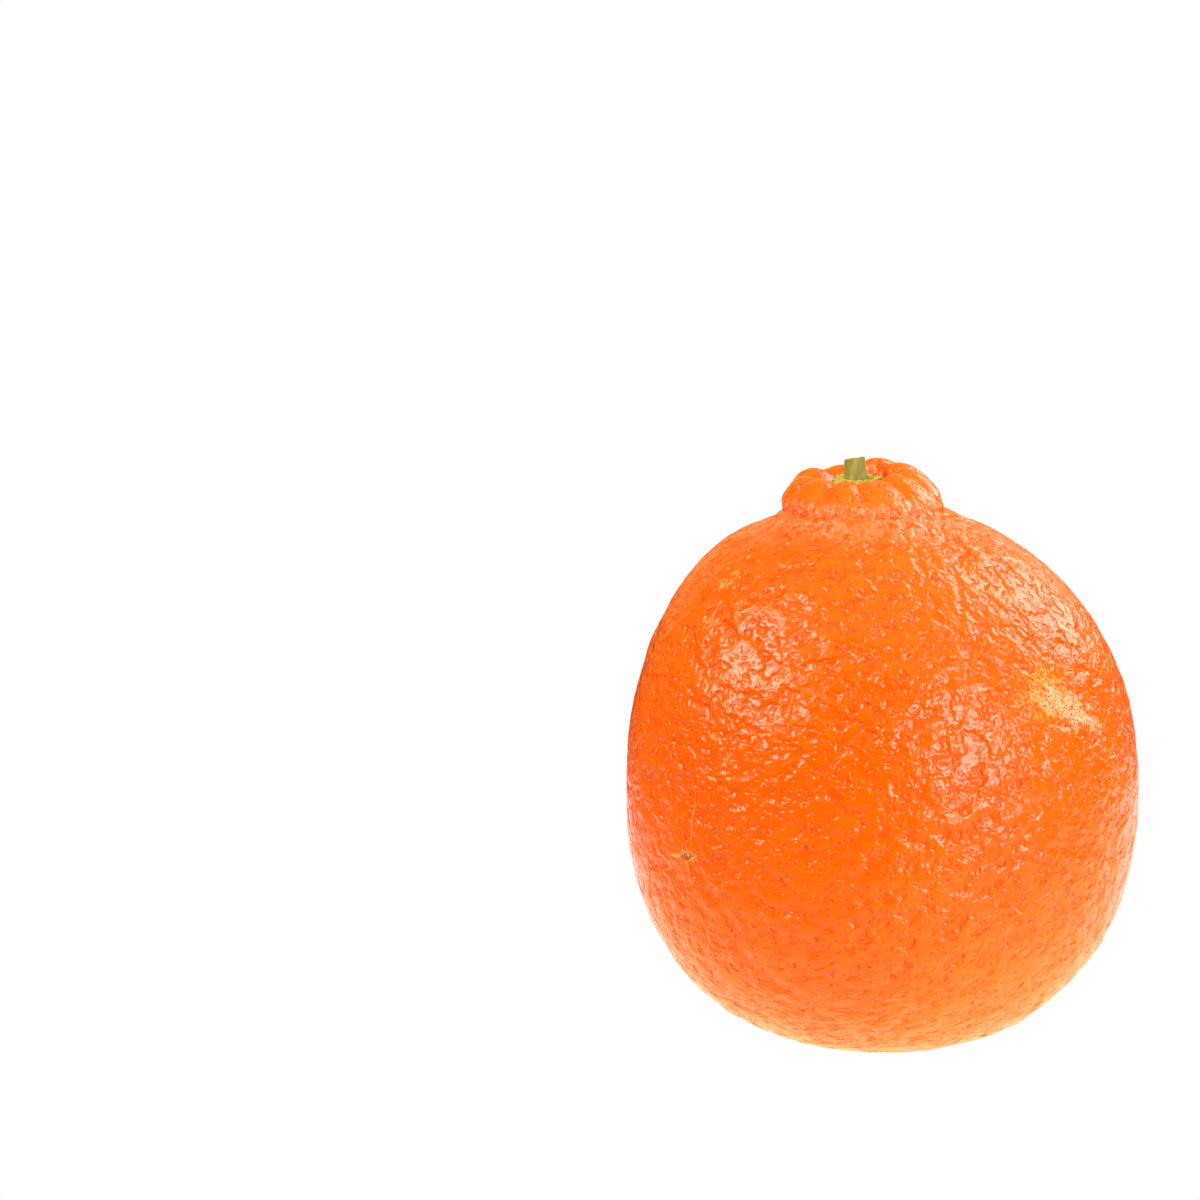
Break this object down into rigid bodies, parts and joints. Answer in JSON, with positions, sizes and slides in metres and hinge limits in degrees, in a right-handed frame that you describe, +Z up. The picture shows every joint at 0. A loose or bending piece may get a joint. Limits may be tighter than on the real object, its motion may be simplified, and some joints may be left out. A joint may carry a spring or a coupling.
{
  "type": "minneola tangelo",
  "caption": "Whole bell-shaped citrus fruit with a lobed knob of a neck, a star-shaped calyx and a short cut stem, standing on its blossom end.",
  "frame": {"origin": "centre of the object's box in plan, on the surface that the fruit stands on", "axes": "+Z up from the blossom end to the stem; the side that the picture shows faces -Y; the neck leans towards -X"},
  "size_m": [0.0816, 0.0824, 0.095],
  "materials": {
    "peel": "satin",
    "calyx": "matte",
    "stem": "matte"
  },
  "bodies": {
    "root": {"fruit": "peel", "calyx": "calyx", "stem": "stem"}
  },
  "joints": []
}
